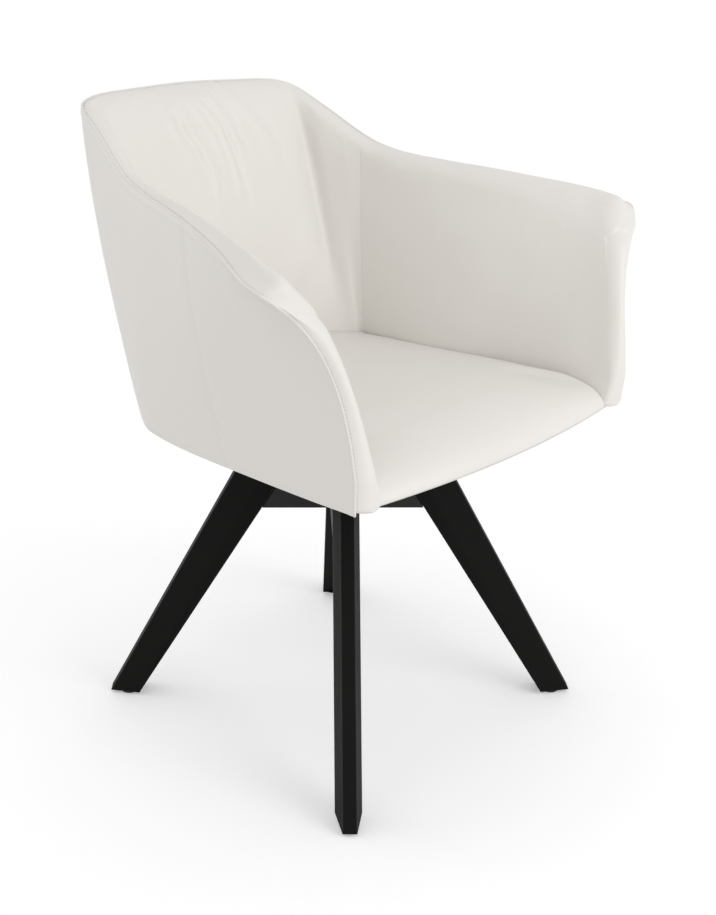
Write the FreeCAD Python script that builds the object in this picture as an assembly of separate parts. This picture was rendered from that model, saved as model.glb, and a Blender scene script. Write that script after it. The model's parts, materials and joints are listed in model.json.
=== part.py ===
import FreeCAD, Part
import math
import os

V = FreeCAD.Vector
os.makedirs("parts", exist_ok=True)

# Driving dimensions, in millimetres.
# Everything is measured from the swivel axis, with -Y towards the front and +X to the sitter's left.
# On export it moves by to_box_centre, so that the origin is under the middle of the chair's outer box.
to_box_centre = V(0, -17, 0)

# Four splayed legs
leg_reach = 330.0            # swivel axis to the outer tip of a foot
leg_outer_slope = 0.54       # how far the outer edge leans in for each mm of height
leg_inner_slope = 0.627
leg_inner_foot = 291.3       # radius of the inner edge at the foot
leg_foot_z = 4.0
leg_top_z = 415.0
leg_thick = 34.0
leg_nose_half = 9.1          # half the width of the flat on the outer and the inner edge
nose_depth = 41.0            # how far back the outer chamfers run
heel_depth = 3.0
leg_angles = {"front_left": -45, "rear_left": 45, "rear_right": 135, "front_right": -135}

# Glides under the feet
glide_radius = 12.0
glide_at = 304.0
glide_screw_radius = 2.0

# Welded cross between the legs
cross_bottom_z = 294.0
cross_top_z = 412.0
cross_wall = 3.0
cross_end_plate = 5.0
hub_radius = 24.0
hub_bore = 16.0
hub_top_z = 424.0
hub_shoulder_z = 304.0       # below this the hub is counterbored for the washer and ring
counterbore = 18.5
bolt_heights = (322.0, 372.0)
bolt_radius = 4.0
insert_radius = 6.0
insert_length = 22.0

# Swivel
spindle_radius = 12.5
running_gap = 0.05
spindle_foot_z = 296.0
ball_radius = 3.0
ball_count = 12
ball_ring = 20.0
race_thick = 3.0
race_radius = 25.0
cage_half = 4.5              # half the width of the cage ring
cage_thick = 2.0
plate_size = 160.0
plate_thick = 4.0
plate_holes = 120.0
plate_screw_radius = 3.0

# Seat board and the covers' lower edge
shell_bottom_z = 441.0
board_bottom_z = 442.0
board_thick = 12.0
board_inset = 7.0
board_front_set = 15.0       # the board's front edge behind the cushion's
soft_gap = 0.3

# Seat cushion
seat_line_z = 477.0          # where the seat meets the arms
seat_crown = 11.0
seat_side_draw = 1.5
seat_front_y = -277.0        # middle of the front edge
seat_front_corner_y = -260.5

# Tube frame inside the padding
tube_radius = 7.0
tube_wall = 1.5
tube_clear = 0.3
tube_bend = 45.0
frame_foot = V(28, 44, 3)

# Covers
cover_thick = 2.4
pad_inset = 3.4

# The shell is drawn on stations from the middle of the back to the tip of one arm.
# Each station has the rim point, the bottom point, the inward heading in degrees, the depth of the
# padding at the seat line, the depth at the rim, the crown of the inner face, the swell of the outer
# face and the power of the outward flare. The last one lies in front of the arm, which arm_front trims.
back_stations = [
    (V(0, 312, 840), V(0, 237, 441), -90, 47, 31, 13, 14, 1.0),
    (V(90, 310, 838), V(92, 226, 441), -97, 47, 31, 12, 14, 1.0),
    (V(160, 302, 830), V(155, 199, 441), -114, 46, 30, 8, 15, 1.0),
    (V(190, 286, 818), V(194, 171, 441), -135, 44, 29, 4, 17, 1.0),
    (V(208, 239, 797), V(220, 148, 441), -157, 47, 28, 2, 19, 1.0),
    (V(230, 159, 751), V(240, 128, 441), -180, 55, 28, 2, 19, 1.0),
]
arm_stations = [
    (V(230, 159, 751), V(240, 128, 441), -180, 55, 28, 2, 19, 1.0),
    (V(241, 105, 737.5), V(256, 94, 441), -180, 70, 32, 2, 15, 1.2),
    (V(258, 35, 729.5), V(266, 32, 441), -180, 77, 35, 2, 9, 1.6),
    (V(280, -31, 721), V(269, -34, 441), -180, 71, 38, 2, 5, 2.2),
    (V(301, -87, 713), V(269, -95, 441), -180, 58, 42, 2, 3, 2.8),
    (V(322, -133, 706), V(269, -150, 441), -180, 52, 48, 2, 2, 3.2),
    (V(338, -169, 698), V(268, -205, 441), -180, 46, 55, 2, 1, 3.2),
    (V(344, -202, 686), V(265.5, -258, 441), -180, 41, 60, 2, 1, 3.2),
    (V(351, -240, 676), V(262.5, -306, 441), -180, 38, 64, 2, 1, 3.2),
]
back_sections = 19
arm_sections = 12
cover_split = 5              # the rear and the side covers meet at this section of the arm

# Side view of the front of the arms, from the underside up to the tip and over it
arm_front = [V(0, -257, 441), V(0, -260, 480), V(0, -254.5, 520), V(0, -246.5, 560),
             V(0, -237.5, 600), V(0, -228, 640), V(0, -221, 665)]
arm_tip = V(0, -213, 683)
arm_tip_top = V(0, -190, 702)


def save(name, shape):
    moved = shape.copy()
    moved.translate(to_box_centre)
    moved.exportStep("parts/" + name + ".step")


def line(a, b):
    return Part.LineSegment(a, b).toShape()


def arc(a, b, c):
    return Part.Arc(a, b, c).toShape()


def polygon_face(points):
    return Part.Face(Part.makePolygon(points + [points[0]]))


def cylinder(radius, z0, z1, at=V(0, 0, 0)):
    return Part.makeCylinder(radius, z1 - z0, V(at.x, at.y, z0))


def tube(outer, inner, z0, z1):
    return cylinder(outer, z0, z1).cut(cylinder(inner, z0 - 1, z1 + 1))


def turned(shape, degrees):
    copy = shape.copy()
    copy.rotate(V(0, 0, 0), V(0, 0, 1), degrees)
    return copy


def mirrored(shape):
    return shape.mirror(V(0, 0, 0), V(1, 0, 0))


# Base


def leg_outer(z):
    return leg_reach - leg_outer_slope * (z - leg_foot_z)


def leg_inner(z):
    return leg_inner_foot - leg_inner_slope * (z - leg_foot_z)


def outer_chamfer(side):
    z0 = -20.0
    rise = 460.0
    edge = leg_reach + leg_outer_slope * (leg_foot_z - z0)
    half = leg_thick / 2
    slope = (half - leg_nose_half) / nose_depth
    past = 10.0
    points = [
        V(edge - nose_depth, side * half, z0),
        V(edge + past, side * (leg_nose_half - slope * past), z0),
        V(edge + past, side * 2 * half, z0),
        V(edge - nose_depth, side * 2 * half, z0),
    ]
    return polygon_face(points).extrude(V(-leg_outer_slope * rise, 0, rise))


def inner_chamfer(side):
    z0 = -20.0
    rise = 460.0
    edge = leg_inner_foot + leg_inner_slope * (leg_foot_z - z0)
    half = leg_thick / 2
    slope = (half - leg_nose_half) / heel_depth
    past = 2.0
    points = [
        V(edge + heel_depth, side * half, z0),
        V(edge - past, side * (leg_nose_half - slope * past), z0),
        V(edge - past, side * 2 * half, z0),
        V(edge + heel_depth, side * 2 * half, z0),
    ]
    return polygon_face(points).extrude(V(-leg_inner_slope * rise, 0, rise))


def bolt_axis():
    return V(1, 0, leg_inner_slope).normalize()


def bolt_seat(z):
    # Where a bolt's axis crosses the inner edge of the leg.
    return V(leg_inner(z), 0, z)


def make_leg():
    half = leg_thick / 2
    side = [
        V(leg_outer(leg_foot_z), -half, leg_foot_z),
        V(leg_outer(leg_top_z), -half, leg_top_z),
        V(leg_inner(leg_top_z), -half, leg_top_z),
        V(leg_inner(leg_foot_z), -half, leg_foot_z),
    ]
    leg = polygon_face(side).extrude(V(0, leg_thick, 0))
    for direction in (-1, 1):
        leg = leg.cut(outer_chamfer(direction))
        leg = leg.cut(inner_chamfer(direction))
    for z in bolt_heights:
        leg = leg.cut(Part.makeCylinder(insert_radius, insert_length + 8, bolt_seat(z), bolt_axis()))
    pilot = cylinder(glide_screw_radius, leg_foot_z - 1, leg_foot_z + 16, V(glide_at, 0, 0))
    return leg.cut(pilot)


def make_glide():
    rim = 1.0
    foot = Part.makeCone(glide_radius - rim, glide_radius, rim, V(glide_at, 0, 0))
    body = foot.fuse(cylinder(glide_radius, rim, leg_foot_z, V(glide_at, 0, 0))).removeSplitter()
    head = Part.makeCone(4.2, glide_screw_radius, 2.2, V(glide_at, 0, 0.8))
    body = body.cut(head)
    body = body.cut(cylinder(4.2, -1, 0.8, V(glide_at, 0, 0)))
    return body.cut(cylinder(glide_screw_radius, 1, 5, V(glide_at, 0, 0)))


def make_glide_screw():
    head = Part.makeCone(4.2, glide_screw_radius, 2.2, V(glide_at, 0, 0.8))
    shank = cylinder(glide_screw_radius, 3.0, leg_foot_z + 15, V(glide_at, 0, 0))
    return head.fuse(shank).removeSplitter()


def cross_profile(wall, bottom, top, half):
    # Side outline of one arm of the cross, closed at its end along the leg's inner edge.
    points = [
        V(0, -half, bottom),
        V(leg_inner(bottom) - wall, -half, bottom),
        V(leg_inner(top) - wall, -half, top),
        V(0, -half, top),
    ]
    return polygon_face(points).extrude(V(0, 2 * half, 0))


def make_cross():
    half = leg_thick / 2
    outside = None
    inside = None
    for quarter in range(4):
        arm = turned(cross_profile(0, cross_bottom_z, cross_top_z, half), 90 * quarter)
        floor_z = cross_bottom_z + cross_wall
        room = cross_profile(cross_end_plate, floor_z, cross_top_z + 10, half - cross_wall)
        room = turned(room, 90 * quarter)
        outside = arm if outside is None else outside.fuse(arm)
        inside = room if inside is None else inside.fuse(room)
    body = outside.cut(inside)
    body = body.fuse(cylinder(hub_radius, cross_bottom_z, hub_top_z))
    body = body.cut(cylinder(hub_bore, hub_shoulder_z, hub_top_z + 1))
    body = body.cut(cylinder(counterbore, cross_bottom_z - 1, hub_shoulder_z))
    for quarter in range(4):
        for z in bolt_heights:
            start = bolt_seat(z) - bolt_axis() * 12
            hole = Part.makeCylinder(bolt_radius + 0.3, 20, start, bolt_axis())
            body = body.cut(turned(hole, 90 * quarter))
    body.rotate(V(0, 0, 0), V(0, 0, 1), 45)
    return body.removeSplitter()


def make_bolt(z):
    # A cap screw from inside the cross into the leg's insert.
    axis = bolt_axis()
    seat = bolt_seat(z) - axis * cross_end_plate * axis.x
    head = Part.makeCylinder(6.0, 6.0, seat - axis * 6.0, axis)
    socket = Part.makeCylinder(3.0, 3.5, seat - axis * 6.0, axis)
    shank = Part.makeCylinder(bolt_radius, 24.0, seat, axis)
    return head.fuse(shank).cut(socket).removeSplitter()


def make_insert(z):
    axis = bolt_axis()
    sleeve = Part.makeCylinder(insert_radius, insert_length, bolt_seat(z) + axis * 0.5, axis)
    bore = Part.makeCylinder(bolt_radius, insert_length + 2, bolt_seat(z), axis)
    return sleeve.cut(bore)


# Swivel

flange = 2.0
race_lower_z = hub_top_z + flange
ball_z = race_lower_z + race_thick + ball_radius
race_upper_z = ball_z + ball_radius + 0.02
plate_z = board_bottom_z - plate_thick


def make_bush_upper():
    body = tube(hub_bore, spindle_radius + running_gap, hub_top_z - 22, hub_top_z)
    collar = tube(22.0, spindle_radius + running_gap, hub_top_z, hub_top_z + flange)
    return body.fuse(collar).removeSplitter()


def make_bush_lower():
    body = tube(hub_bore, spindle_radius + running_gap, hub_shoulder_z, hub_shoulder_z + 20)
    collar = tube(counterbore - 0.5, spindle_radius + running_gap, hub_shoulder_z - flange, hub_shoulder_z)
    return body.fuse(collar).removeSplitter()


def make_balls():
    balls = []
    for index in range(ball_count):
        angle = 2 * math.pi * index / ball_count
        centre = V(ball_ring * math.cos(angle), ball_ring * math.sin(angle), ball_z)
        balls.append(Part.makeSphere(ball_radius, centre))
    return balls


def make_ball_cage():
    half = cage_thick / 2
    cage = tube(ball_ring + cage_half, ball_ring - cage_half, ball_z - half, ball_z + half)
    for index in range(ball_count):
        angle = 2 * math.pi * index / ball_count
        centre = V(ball_ring * math.cos(angle), ball_ring * math.sin(angle), 0)
        cage = cage.cut(cylinder(ball_radius + 0.05, ball_z - 2, ball_z + 2, centre))
    return cage


def plate_corners():
    half = plate_holes / 2
    return [V(x, y, 0) for x in (-half, half) for y in (-half, half)]


def make_spindle_plate():
    half = plate_size / 2
    plate = Part.makeBox(plate_size, plate_size, plate_thick, V(-half, -half, plate_z))
    upright = [edge for edge in plate.Edges if abs(edge.Vertexes[0].Z - edge.Vertexes[1].Z) > 1]
    plate = plate.makeFillet(14, upright)
    for at in plate_corners():
        plate = plate.cut(cylinder(plate_screw_radius + 0.4, plate_z - 1, plate_z + 10, at))
    spindle = cylinder(spindle_radius, spindle_foot_z, plate_z)
    foot_edges = [edge for edge in spindle.Edges if edge.BoundBox.ZMax < spindle_foot_z + 1]
    spindle = spindle.makeChamfer(1.0, foot_edges)
    groove = tube(spindle_radius + 1, spindle_radius - 1, spindle_foot_z + 2.6, spindle_foot_z + 4.2)
    return plate.fuse(spindle).cut(groove).removeSplitter()


def make_race_upper():
    return tube(race_radius, spindle_radius + 0.5, race_upper_z, plate_z)


def make_washer():
    return tube(counterbore - 1.0, spindle_radius + 0.1, spindle_foot_z + 4.2, hub_shoulder_z - flange - 0.1)


def make_retaining_ring():
    ring = tube(spindle_radius + 2.2, spindle_radius - 1, spindle_foot_z + 2.6, spindle_foot_z + 4.2)
    gap = Part.makeBox(20, 5, 6, V(0, -2.5, spindle_foot_z))
    return ring.cut(gap)


def make_plate_screw(at):
    head = cylinder(6.0, plate_z - 3.6, plate_z, at)
    socket = cylinder(2.2, plate_z - 4, plate_z - 1.6, at)
    shank = cylinder(plate_screw_radius, plate_z, board_bottom_z + 9, at)
    return head.fuse(shank).cut(socket).removeSplitter()


def make_tee_nut(at):
    top = board_bottom_z + board_thick
    body = cylinder(4.0, board_bottom_z + 1, top, at)
    body = body.fuse(cylinder(9.5, top - 1.2, top, at))
    return body.cut(cylinder(plate_screw_radius, board_bottom_z, top + 1, at)).removeSplitter()


# Shell sections


def flipped(station):
    rim, foot = station[0], station[1]
    return (V(-rim.x, rim.y, rim.z), V(-foot.x, foot.y, foot.z), -180 - station[2]) + station[3:]


def hermite(a, b, slope_a, slope_b, span, t):
    # Cubic from a to b, with the slopes given per unit of length.
    lead = (1 + 2 * t) * (1 - t) ** 2
    tail = t * t * (3 - 2 * t)
    return a * lead + b * tail + slope_a * (span * t * (1 - t) ** 2) - slope_b * (span * t * t * (1 - t))


def evenly(stations, count):
    # The same stations, spaced evenly along the rim.
    lengths = [0.0]
    for a, b in zip(stations, stations[1:]):
        lengths.append(lengths[-1] + (b[0] - a[0]).Length)
    last = len(stations) - 1
    result = []
    for index in range(count):
        at = lengths[-1] * index / (count - 1)
        k = max(i for i in range(last) if lengths[i] <= at)
        span = lengths[k + 1] - lengths[k]
        before = max(k - 1, 0)
        after = min(k + 2, last)
        fields = []
        for a, b, p, q in zip(stations[k], stations[k + 1], stations[before], stations[after]):
            slope_a = (b - p) * (1 / (lengths[k + 1] - lengths[before]))
            slope_b = (q - a) * (1 / (lengths[after] - lengths[k]))
            fields.append(hermite(a, b, slope_a, slope_b, span, (at - lengths[k]) / span))
        result.append(tuple(fields))
    return result


def heading(station):
    angle = math.radians(station[2])
    return V(math.cos(angle), math.sin(angle), 0)


def on_station(station, depth, part):
    rim, foot = station[0], station[1]
    return foot + (rim - foot) * part + heading(station) * depth


def part_at(station, z):
    rim, foot = station[0], station[1]
    return (z - foot.z) / (rim.z - foot.z)


def outer_depth(station, part):
    # Distance of the outer face inside the straight line from the bottom point to the rim point.
    rim, foot, _, _, _, _, swell, power = station
    lean = (rim - foot).dot(heading(station) * -1)
    return lean * (part - part ** power) - swell * 4 * part * (1 - part)


def outer_point(station, part, inset=0.0):
    return on_station(station, outer_depth(station, part) + inset, part)


def bowed(a, c, bow, toward):
    # An arc from a to c that stands off its chord by bow.
    return arc(a, (a + c) * 0.5 + toward * bow, c)


def pad_section(station):
    # Outer face in two arcs, rolled top, inner face down to the seat line, side and underside.
    inward = heading(station)
    rim_depth = station[4]
    rise = 1 / (station[0].z - station[1].z)
    top = outer_point(station, 1.0, pad_inset)
    crest = on_station(station, pad_inset + rim_depth * 0.38, 1 + rim_depth * 0.16 * rise)
    shoulder = on_station(station, pad_inset + rim_depth, 1 - rim_depth * 0.55 * rise)
    seat = on_station(station, station[3], part_at(station, seat_line_z))
    inner_foot = on_station(station, station[3], 0.0)
    outer = [outer_point(station, part, pad_inset) for part in (0.0, 0.35, 0.68, 0.86)]
    edges = [
        arc(outer[0], outer[1] - inward * 0.2, outer[2]),
        arc(outer[2], outer[3] - inward * 0.2, top),
        arc(top, crest, shoulder),
        bowed(shoulder, seat, station[5], inward),
        line(seat, inner_foot),
        line(inner_foot, outer[0]),
    ]
    return Part.Wire(edges)


def cover_section(station):
    inward = heading(station)
    outer = [outer_point(station, part) for part in (0.0, 0.35, 0.68, 0.86, 1.0)]
    inner = [point + inward * cover_thick for point in outer]
    edges = [
        arc(outer[0], outer[1] - inward * 0.2, outer[2]),
        arc(outer[2], outer[3] - inward * 0.2, outer[4]),
        line(outer[4], inner[4]),
        arc(inner[4], inner[3] - inward * 0.2, inner[2]),
        arc(inner[2], inner[1] - inward * 0.2, inner[0]),
        line(inner[0], outer[0]),
    ]
    return Part.Wire(edges)


def loft(sections):
    return Part.makeLoft(sections, True, False)


whole_back = evenly([flipped(station) for station in back_stations[:0:-1]] + back_stations, back_sections)
whole_arm = evenly(arm_stations, arm_sections)


def spline(points):
    curve = Part.BSplineCurve()
    curve.interpolate(points)
    return curve.toShape()


def level(point, z):
    return V(point.x, point.y, z)


def around(stations_of_arm, z, depth_of):
    # Points round the shell at one height, from the front of the right arm to the front of the left.
    left = whole_back + stations_of_arm[1:]
    middle = len(whole_back) // 2
    half = []
    for station in left[middle:]:
        half.append(level(on_station(station, depth_of(station), part_at(station, z)), z))
    return [V(-point.x, point.y, z) for point in half[:0:-1]] + half


def front_edge(a, c, bow):
    return arc(a, V(0, (a.y + c.y) / 2 - bow, a.z), c)


def board_outline(grow, z):
    points = around(whole_arm, shell_bottom_z, lambda station: board_inset - grow)
    points = [level(point, z) for point in points[1:-1]]
    corner_y = seat_front_corner_y + board_front_set - grow
    right = V(points[0].x, corner_y, z)
    left = V(points[-1].x, corner_y, z)
    bow = seat_front_corner_y - seat_front_y
    points = [point for point in points if point.y > corner_y + 12]
    return Part.Wire([spline([right] + points + [left]), front_edge(left, right, bow)])


def make_board():
    board = Part.Face(board_outline(0, board_bottom_z)).extrude(V(0, 0, board_thick))
    for at in plate_corners():
        board = board.cut(cylinder(4.0, board_bottom_z - 1, board_bottom_z + board_thick + 1, at))
        board = board.cut(cylinder(9.5, board_bottom_z + board_thick - 1.2, board_bottom_z + 20, at))
    return board


def board_room():
    # The space that the soft parts leave for the board and the lining under it.
    face = Part.Face(board_outline(soft_gap, shell_bottom_z - 1))
    return face.extrude(V(0, 0, board_bottom_z + board_thick + soft_gap - shell_bottom_z + 1))


def make_dust_cover():
    sheet = Part.Face(board_outline(-2, shell_bottom_z)).extrude(V(0, 0, board_bottom_z - shell_bottom_z))
    half = plate_size / 2 + 2
    return sheet.cut(Part.makeBox(2 * half, 2 * half, 4, V(-half, -half, shell_bottom_z - 1)))


def cushion_outline(z, inset):
    gap = soft_gap + inset
    points = around(whole_arm, seat_line_z, lambda station: station[3] + gap)
    points = [level(point, z) for point in points]
    forward = V(0, -30, 0)
    right = points[0] + forward
    left = points[-1] + forward
    return Part.Wire([spline([right] + points + [left]), line(left, right)])


def cushion_profile(x):
    # Side view of the seat at x: crowned top, waterfall front and flat underside.
    half_width = 235.0
    across = 1 - (x / half_width) ** 2
    top = seat_line_z + seat_crown * across
    front = seat_front_corner_y + (seat_front_y - seat_front_corner_y) * across
    rear_y = 215.0
    roll_y = -185.0
    rear = V(x, rear_y, top - 4)
    start = V(x, roll_y, top - 2)
    nose = V(x, front + 12, shell_bottom_z + (top - shell_bottom_z) * 0.62)
    lip = V(x, front, shell_bottom_z)
    edges = [
        bowed(rear, start, 3.0, V(0, 0, 1)),
        arc(start, nose, lip),
        line(lip, V(x, rear_y, shell_bottom_z)),
        line(V(x, rear_y, shell_bottom_z), rear),
    ]
    return Part.Wire(edges)


def make_cushion():
    sides = loft([
        cushion_outline(shell_bottom_z - 2, 0),
        cushion_outline(seat_line_z - 14, seat_side_draw),
        cushion_outline(seat_line_z + 20, 0),
    ])
    dome = loft([cushion_profile(x) for x in (-235, -141, -47, 47, 141, 235)])
    cushion = sides.common(dome).cut(board_room())
    for pad in (back_form(), arm_form(), mirrored(arm_form())):
        cushion = cushion.cut(pad)
    return cushion


def frame_path():
    # The tube rises from the board at the front of each arm, runs under the rim and across the back.
    def inside(station, depth, drop):
        return on_station(station, depth, 1 - drop / (station[0].z - station[1].z))
    front = arm_stations[6]
    foot = on_station(front, 26, part_at(front, board_bottom_z + board_thick + frame_foot.z))
    half = [
        inside(back_stations[1], 19, 32),
        inside(back_stations[2], 15, 30),
        inside(back_stations[3], 13, 30),
        inside(back_stations[4], 13, 32),
        inside(arm_stations[1], 20, 34),
        inside(arm_stations[3], 24, 36),
        inside(front, 40, 50),
        inside(front, 44, 120),
        foot,
    ]
    return [V(-point.x, point.y, point.z) for point in half[::-1]] + half


def bent_wire(points, largest):
    # Straight runs joined by tangent arcs.
    edges = []
    at = points[0]
    for before, corner, after in zip(points, points[1:], points[2:]):
        back = (before - corner).normalize()
        ahead = (after - corner).normalize()
        turn = math.pi - back.getAngle(ahead)
        shorter = min((before - corner).Length, (after - corner).Length)
        radius = min(largest, 0.45 * shorter / math.tan(turn / 2))
        reach = radius * math.tan(turn / 2)
        start = corner + back * reach
        end = corner + ahead * reach
        middle = corner + (back + ahead).normalize() * (radius / math.cos(turn / 2) - radius)
        edges.append(line(at, start))
        edges.append(arc(start, middle, end))
        at = end
    edges.append(line(at, points[-1]))
    return Part.Wire(edges)


def swept(path, radius):
    start = path.Edges[0]
    direction = start.tangentAt(start.FirstParameter)
    circle = Part.Circle(start.Vertexes[0].Point, direction, radius).toShape()
    return path.makePipeShell([Part.Wire([circle])], True, False)


def foot_plates(points):
    plates = []
    for foot in (points[0], points[-1]):
        corner = V(foot.x - frame_foot.x / 2, foot.y - frame_foot.y / 2, foot.z - frame_foot.z)
        plates.append(Part.makeBox(frame_foot.x, frame_foot.y, frame_foot.z, corner))
    return plates


def make_shell_frame():
    points = frame_path()
    path = bent_wire(points, tube_bend)
    frame = swept(path, tube_radius).cut(swept(path, tube_radius - tube_wall))
    for plate in foot_plates(points):
        frame = frame.fuse(plate)
    return frame


def frame_room():
    points = frame_path()
    room = swept(bent_wire(points, tube_bend), tube_radius + tube_clear)
    for foot in (points[0], points[-1]):
        size = frame_foot + V(2, 2, 1) * tube_clear
        corner = V(foot.x - size.x / 2, foot.y - size.y / 2, foot.z - frame_foot.z - 1)
        room = room.fuse(Part.makeBox(size.x, size.y, size.z + 1, corner))
    return room


def back_form():
    return loft([pad_section(station) for station in whole_back])


def arm_room():
    # Everything behind the curved front of the arms, as a block across the chair.
    high, low, rear, half_width = 900, 400, 400, 400
    foot = V(0, arm_front[0].y, low)
    points = [arm_tip_top, V(0, -150, high), V(0, rear, high), V(0, rear, low), foot, arm_front[0]]
    edges = [spline(arm_front), arc(arm_front[-1], arm_tip, arm_tip_top)]
    edges += [line(a, b) for a, b in zip(points, points[1:])]
    side = Part.Face(Part.Wire(edges))
    side.translate(V(-half_width, 0, 0))
    return side.extrude(V(2 * half_width, 0, 0))


def arm_form():
    return loft([pad_section(station) for station in whole_arm]).common(arm_room())


def make_back_pad():
    return back_form().cut(board_room()).cut(frame_room())


def make_arm_pad():
    return arm_form().cut(board_room()).cut(frame_room())


def make_side_cover():
    return loft([cover_section(station) for station in whole_arm[cover_split:]]).common(arm_room())


def make_rear_cover():
    arm = whole_arm[1:cover_split + 1]
    stations = [flipped(station) for station in arm[::-1]] + whole_back + arm
    return loft([cover_section(station) for station in stations])


def four_times(shapes):
    group = []
    for angle in leg_angles.values():
        group += [turned(shape, angle) for shape in shapes]
    return Part.makeCompound(group)


def save_base():
    for place, angle in leg_angles.items():
        save("leg_" + place, turned(make_leg(), angle))
        save("glide_" + place, turned(make_glide(), angle))
    save("glide_screws", four_times([make_glide_screw()]))
    save("base_cross", make_cross())
    save("leg_bolts", four_times([make_bolt(z) for z in bolt_heights]))
    save("leg_inserts", four_times([make_insert(z) for z in bolt_heights]))
    save("bush_upper", make_bush_upper())
    save("bush_lower", make_bush_lower())
    save("race_lower", tube(race_radius, spindle_radius + 0.5, race_lower_z, race_lower_z + race_thick))
    save("bearing_balls", Part.makeCompound(make_balls()))
    save("ball_cage", make_ball_cage())


def save_seat():
    save("race_upper", make_race_upper())
    save("spindle_plate", make_spindle_plate())
    save("spindle_washer", make_washer())
    save("retaining_ring", make_retaining_ring())
    save("plate_screws", Part.makeCompound([make_plate_screw(at) for at in plate_corners()]))
    save("tee_nuts", Part.makeCompound([make_tee_nut(at) for at in plate_corners()]))
    save("seat_board", make_board())
    save("dust_cover", make_dust_cover())
    save("shell_frame", make_shell_frame())
    save("seat_cushion", make_cushion())
    save("back_pad", make_back_pad())
    rear_cover = make_rear_cover()
    arm_pad = make_arm_pad().cut(rear_cover)
    save("arm_pad_left", arm_pad)
    save("arm_pad_right", mirrored(arm_pad))
    side_cover = make_side_cover()
    save("side_cover_left", side_cover)
    save("side_cover_right", mirrored(side_cover))
    save("rear_cover", rear_cover)


if __name__ == "__main__":
    save_base()
    save_seat()
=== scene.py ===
import json
import math

import bmesh
import bpy
from mathutils import Matrix, Vector
from mathutils.bvhtree import BVHTree

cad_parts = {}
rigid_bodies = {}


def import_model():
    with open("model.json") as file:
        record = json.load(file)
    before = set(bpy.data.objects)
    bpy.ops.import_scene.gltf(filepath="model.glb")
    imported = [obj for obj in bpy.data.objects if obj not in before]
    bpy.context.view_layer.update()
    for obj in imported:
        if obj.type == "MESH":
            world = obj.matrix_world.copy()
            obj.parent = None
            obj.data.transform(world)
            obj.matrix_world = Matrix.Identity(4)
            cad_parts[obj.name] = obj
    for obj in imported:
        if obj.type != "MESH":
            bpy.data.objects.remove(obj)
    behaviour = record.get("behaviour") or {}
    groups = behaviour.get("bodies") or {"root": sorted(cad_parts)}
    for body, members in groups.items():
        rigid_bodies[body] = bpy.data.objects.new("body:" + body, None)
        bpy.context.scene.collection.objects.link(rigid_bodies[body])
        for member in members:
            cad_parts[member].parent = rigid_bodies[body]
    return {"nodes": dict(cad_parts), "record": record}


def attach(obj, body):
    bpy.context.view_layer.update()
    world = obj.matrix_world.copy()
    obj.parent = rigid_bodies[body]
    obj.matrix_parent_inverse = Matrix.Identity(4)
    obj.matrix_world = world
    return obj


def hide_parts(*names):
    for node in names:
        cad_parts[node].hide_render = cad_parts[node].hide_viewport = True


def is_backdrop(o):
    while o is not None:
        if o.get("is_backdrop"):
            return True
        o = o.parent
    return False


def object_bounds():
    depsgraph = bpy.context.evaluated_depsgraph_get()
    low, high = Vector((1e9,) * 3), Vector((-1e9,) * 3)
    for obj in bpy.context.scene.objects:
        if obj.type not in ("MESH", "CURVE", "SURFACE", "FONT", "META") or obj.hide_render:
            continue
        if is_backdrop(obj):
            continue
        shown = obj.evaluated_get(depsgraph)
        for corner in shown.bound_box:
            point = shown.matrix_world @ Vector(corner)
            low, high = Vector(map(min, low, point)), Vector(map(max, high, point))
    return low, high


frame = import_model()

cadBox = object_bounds()
mm = 0.001
swivelAxis = Vector((0, -17, 0))    # every length below is in millimetres from the swivel axis
print("frame loaded")


# Camera, where the photograph was taken from

cameraPlace = {"at": Vector((-1187.3, -1102.0, 1006.0)), "turn": -45.12, "down": 19.34}
cameraLens = {"sensor": 36.0, "lens": 50.2, "shiftX": 0.072, "shiftY": -0.0619}


def makeCamera():
    camera = bpy.data.objects.new("camera", bpy.data.cameras.new("camera"))
    bpy.context.scene.collection.objects.link(camera)
    camera.location = cameraPlace["at"] * mm
    camera.rotation_euler = (math.radians(90 - cameraPlace["down"]), 0, math.radians(cameraPlace["turn"]))
    camera.data.sensor_width = cameraLens["sensor"]
    camera.data.lens = cameraLens["lens"]
    camera.data.shift_x = cameraLens["shiftX"]
    camera.data.shift_y = cameraLens["shiftY"]
    camera.data.clip_end = 50
    bpy.context.scene.camera = camera


# Helpers for meshes


def asPiece(name, bm, material, smooth=True):
    # Turns a bmesh in millimetres into an object in metres, in the frame's place.
    for vert in bm.verts:
        vert.co = (vert.co + swivelAxis) * mm
    mesh = bpy.data.meshes.new(name)
    bm.to_mesh(mesh)
    bm.free()
    piece = bpy.data.objects.new(name, mesh)
    bpy.context.scene.collection.objects.link(piece)
    for each in material if isinstance(material, (list, tuple)) else [material]:
        mesh.materials.append(each)
    for polygon in mesh.polygons:
        polygon.use_smooth = smooth
    return piece


def subdivide(piece, levels=1):
    modifier = piece.modifiers.new("soft", "SUBSURF")
    modifier.levels = levels
    modifier.render_levels = levels


def gridMesh(columns, rows, pointAt, heldAt=None):
    # A grid with its vertices moved onto a form: pointAt takes the column's and the row's number.
    # With heldAt each vertex also gets the weight that holds it while its cloth settles.
    bm = bmesh.new()
    bmesh.ops.create_grid(bm, x_segments=columns, y_segments=rows, size=1)
    held = bm.verts.layers.deform.verify() if heldAt else None
    for vert in bm.verts:
        column = round((vert.co.x + 1) / 2 * columns)
        row = round((vert.co.y + 1) / 2 * rows)
        vert.co = pointAt(column, row)
        if heldAt:
            vert[held][0] = heldAt(column, row, vert.co)
    return bm


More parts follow.
